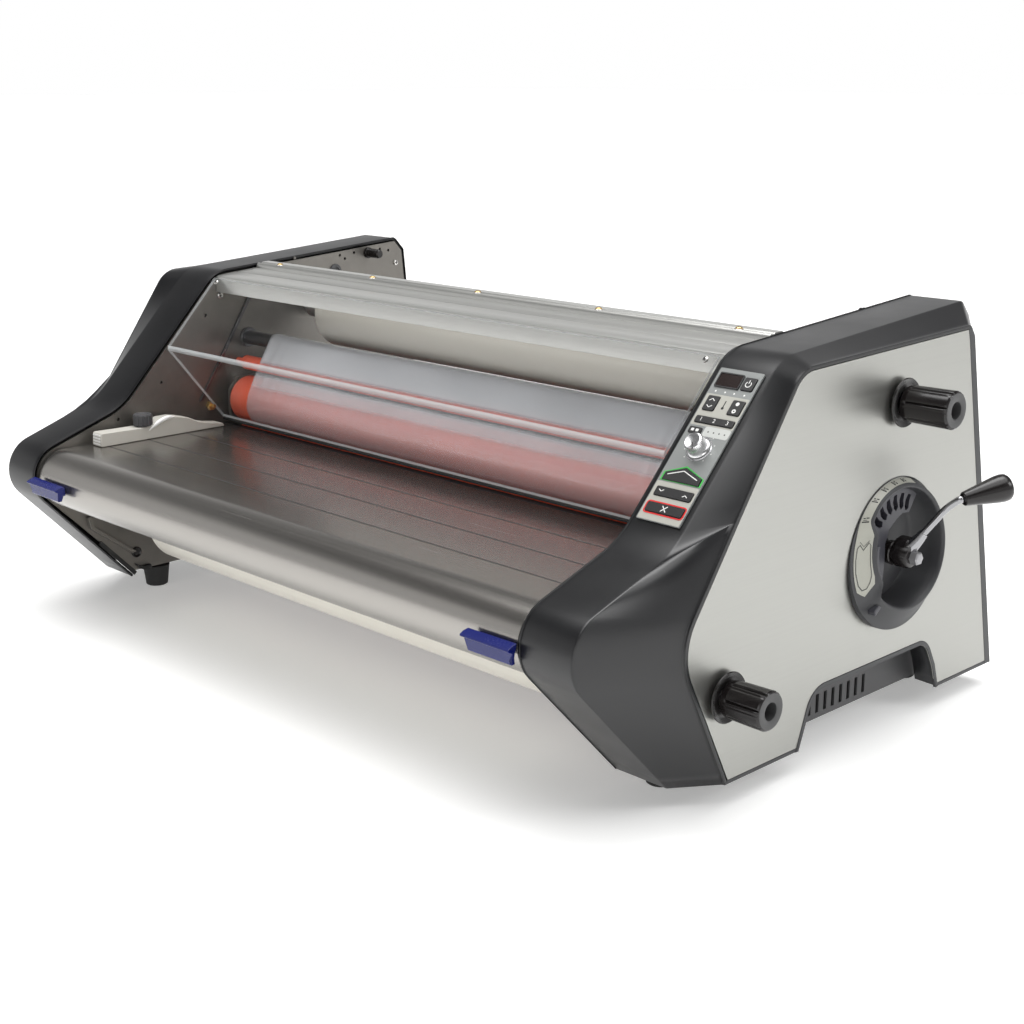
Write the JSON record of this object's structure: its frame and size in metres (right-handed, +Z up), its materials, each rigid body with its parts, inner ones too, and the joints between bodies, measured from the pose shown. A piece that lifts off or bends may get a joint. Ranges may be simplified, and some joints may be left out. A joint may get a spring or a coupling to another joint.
{
  "type": "roll laminator",
  "caption": "Bench-top roll laminator with film rolls, red heat rollers, feed table, clear shield, pressure crank and key panel.",
  "frame": {"origin": "bottom centre of the bounding box, on the ground under the feet", "axes": "+X along the rollers towards the control end, +Y towards the rear where the work comes out, +Z up"},
  "size_m": [0.9643, 0.5584, 0.3656],
  "materials": {
    "base_grey": "satin charcoal paint",
    "plate_grey": "grey-brown zinc look",
    "cover_dark": "dark satin moulding",
    "brushed_steel": "brushed",
    "aluminium": "extruded, satin",
    "red_silicone": "red-orange silicone",
    "black_plastic": "black satin",
    "dark_grey": "dark grey",
    "chrome": "polished",
    "cream": "light beige",
    "film_white": "rolled film, satin",
    "film_clear": "clear film",
    "clear_acrylic": "clear, polished",
    "blue": "blue",
    "rubber": "black",
    "silver_plastic": "silver"
  },
  "bodies": {
    "casing": {"base_pan": "base_grey", "side_plate_left": "plate_grey", "side_plate_right": "plate_grey", "end_cover_left": "cover_dark", "end_cover_right": "cover_dark", "outer_panel_left": "brushed_steel", "outer_panel_right": "brushed_steel", "top_bar": "aluminium", "top_rail": "aluminium", "rear_panel": "base_grey", "upper_idler_bar": "aluminium", "dial_bezel": "dark_grey", "control_plate": "black_plastic", "display_window": "dark_grey", "foot_front_left": "rubber", "foot_front_right": "rubber", "foot_rear_left": "rubber", "foot_rear_right": "rubber", "power_inlet": "black_plastic", "gear_motor": "dark_grey", "upper_knob_flange": "black_plastic", "lower_knob_flange": "black_plastic", "drive_belt": "rubber"},
    "roller_carriage": {"roller_carrier_left": "plate_grey", "roller_carrier_right": "plate_grey", "upper_film_web": "film_clear"},
    "upper_heat": {"upper_heat_roller": "red_silicone", "upper_heat_gear": "dark_grey"},
    "upper_pull": {"upper_pull_roller": "dark_grey", "upper_pull_gear": "dark_grey"},
    "lower_heat": {"lower_heat_roller": "red_silicone", "lower_heat_gear": "dark_grey"},
    "lower_pull": {"lower_pull_roller": "dark_grey", "lower_pull_gear": "dark_grey"},
    "motor_output": {"motor_pulley": "aluminium"},
    "guide_roller": {"upper_guide_roller": "red_silicone"},
    "upper_supply": {"upper_supply_shaft": "aluminium", "upper_film_roll": "film_white"},
    "lower_supply": {"lower_supply_shaft": "aluminium", "lower_film_roll": "film_white"},
    "upper_knob": {"upper_tension_knob": "black_plastic"},
    "lower_knob": {"lower_tension_knob": "black_plastic"},
    "crank": {"cam_shaft": "aluminium", "crank_lever": "chrome", "crank_grip": "black_plastic"},
    "table": {"feed_table": "brushed_steel"},
    "guide": {"paper_guide": "cream"},
    "guide_clamp": {"guide_knob": "dark_grey"},
    "latch_left": {"feed_latch_left": "blue"},
    "latch_right": {"feed_latch_right": "blue"},
    "shield": {"safety_shield": "clear_acrylic"},
    "speed_dial": {"speed_knob": "silver_plastic"},
    "power_key_body": {"power_key": "dark_grey"},
    "temperature_key_body": {"temperature_key": "dark_grey"},
    "speed_step_key_body": {"speed_step_key": "dark_grey"},
    "preset_key_body": {"preset_key": "dark_grey"},
    "run_key_body": {"run_key": "dark_grey"},
    "reverse_key_body": {"reverse_key": "dark_grey"},
    "stop_key_body": {"stop_key": "dark_grey"},
    "mains_rocker": {"power_switch": "black_plastic"}
  },
  "joints": [
    {"name": "pressure_crank", "type": "hinge", "parent": "casing", "child": "crank", "pos_m": [-0.03937, 0.09884, 0.166], "axis": [1, 0, 0], "range_deg": [-15, 120]},
    {"name": "carriage_lift", "type": "slide", "parent": "casing", "child": "roller_carriage", "axis": [0, 0, 1], "range_m": [-0.00037, 0.00293]},
    {"name": "lower_heat_spin", "type": "hinge", "parent": "casing", "child": "lower_heat", "pos_m": [-0.03937, -0.00816, 0.152], "axis": [-1, 0, 0], "continuous": true},
    {"name": "upper_heat_spin", "type": "hinge", "parent": "roller_carriage", "child": "upper_heat", "pos_m": [-0.03937, -0.00816, 0.204], "axis": [-1, 0, 0], "continuous": true},
    {"name": "lower_pull_spin", "type": "hinge", "parent": "casing", "child": "lower_pull", "pos_m": [-0.03937, 0.13884, 0.152], "axis": [-1, 0, 0], "continuous": true},
    {"name": "upper_pull_spin", "type": "hinge", "parent": "roller_carriage", "child": "upper_pull", "pos_m": [-0.03937, 0.13884, 0.204], "axis": [-1, 0, 0], "continuous": true},
    {"name": "motor_spin", "type": "hinge", "parent": "casing", "child": "motor_output", "pos_m": [-0.03937, 0.06384, 0.072], "axis": [-1, 0, 0], "continuous": true},
    {"name": "guide_roller_spin", "type": "hinge", "parent": "casing", "child": "guide_roller", "pos_m": [-0.03937, -0.00516, 0.244], "axis": [-1, 0, 0], "continuous": true},
    {"name": "upper_supply_spin", "type": "hinge", "parent": "casing", "child": "upper_supply", "pos_m": [-0.03937, 0.09684, 0.297], "axis": [1, 0, 0], "continuous": true},
    {"name": "lower_supply_spin", "type": "hinge", "parent": "casing", "child": "lower_supply", "pos_m": [-0.03937, -0.12716, 0.097], "axis": [1, 0, 0], "continuous": true},
    {"name": "upper_tension_turn", "type": "hinge", "parent": "casing", "child": "upper_knob", "pos_m": [-0.03937, 0.09684, 0.297], "axis": [1, 0, 0], "range_deg": [-180, 180]},
    {"name": "lower_tension_turn", "type": "hinge", "parent": "casing", "child": "lower_knob", "pos_m": [-0.03937, -0.12716, 0.097], "axis": [1, 0, 0], "range_deg": [-180, 180]},
    {"name": "feed_table_slide", "type": "slide", "parent": "casing", "child": "table", "axis": [0, -1, 0], "range_m": [0, 0.06]},
    {"name": "paper_guide_slide", "type": "slide", "parent": "table", "child": "guide", "axis": [1, 0, 0], "range_m": [-0.003, 0.3]},
    {"name": "guide_knob_turn", "type": "hinge", "parent": "guide", "child": "guide_clamp", "pos_m": [-0.38037, -0.14616, 0.199], "axis": [0, 0, 1], "range_deg": [-90, 90]},
    {"name": "latch_left_slide", "type": "slide", "parent": "table", "child": "latch_left", "axis": [1, 0, 0], "range_m": [0, 0.008]},
    {"name": "latch_right_slide", "type": "slide", "parent": "table", "child": "latch_right", "axis": [-1, 0, 0], "range_m": [0, 0.008]},
    {"name": "shield_hinge", "type": "hinge", "parent": "casing", "child": "shield", "pos_m": [-0.03937, -0.03466, 0.34], "axis": [-1, 0, 0], "range_deg": [0, 100]},
    {"name": "speed_dial_turn", "type": "hinge", "parent": "casing", "child": "speed_dial", "pos_m": [0.35013, -0.09684, 0.27779], "axis": [0, -0.7251, 0.6886], "range_deg": [-135, 135]},
    {"name": "power_key_press", "type": "slide", "parent": "casing", "child": "power_key_body", "axis": [0, 0.7251, -0.6886], "range_m": [0, 0.0008], "stiffness_N_per_m": 300},
    {"name": "temperature_key_press", "type": "slide", "parent": "casing", "child": "temperature_key_body", "axis": [0, 0.7251, -0.6886], "range_m": [0, 0.0008], "stiffness_N_per_m": 300},
    {"name": "speed_step_key_press", "type": "slide", "parent": "casing", "child": "speed_step_key_body", "axis": [0, 0.7251, -0.6886], "range_m": [0, 0.0008], "stiffness_N_per_m": 300},
    {"name": "preset_key_press", "type": "slide", "parent": "casing", "child": "preset_key_body", "axis": [0, 0.7251, -0.6886], "range_m": [0, 0.0008], "stiffness_N_per_m": 300},
    {"name": "run_key_press", "type": "slide", "parent": "casing", "child": "run_key_body", "axis": [0, 0.7251, -0.6886], "range_m": [0, 0.0008], "stiffness_N_per_m": 300},
    {"name": "reverse_key_press", "type": "slide", "parent": "casing", "child": "reverse_key_body", "axis": [0, 0.7251, -0.6886], "range_m": [0, 0.0008], "stiffness_N_per_m": 300},
    {"name": "stop_key_press", "type": "slide", "parent": "casing", "child": "stop_key_body", "axis": [0, 0.7251, -0.6886], "range_m": [0, 0.0008], "stiffness_N_per_m": 300},
    {"name": "power_switch_rock", "type": "hinge", "parent": "casing", "child": "mains_rocker", "pos_m": [-0.29037, 0.25834, 0.077], "axis": [1, 0, 0], "range_deg": [-8, 8]}
  ],
  "couplings": [
    {"joint": "pressure_crank", "follows": "carriage_lift", "rad_per_m": 714.29},
    {"joint": "upper_heat_spin", "follows": "lower_heat_spin", "ratio": -1},
    {"joint": "lower_pull_spin", "follows": "lower_heat_spin", "ratio": 1},
    {"joint": "upper_pull_spin", "follows": "lower_heat_spin", "ratio": -1},
    {"joint": "motor_spin", "follows": "lower_heat_spin", "ratio": 1}
  ]
}
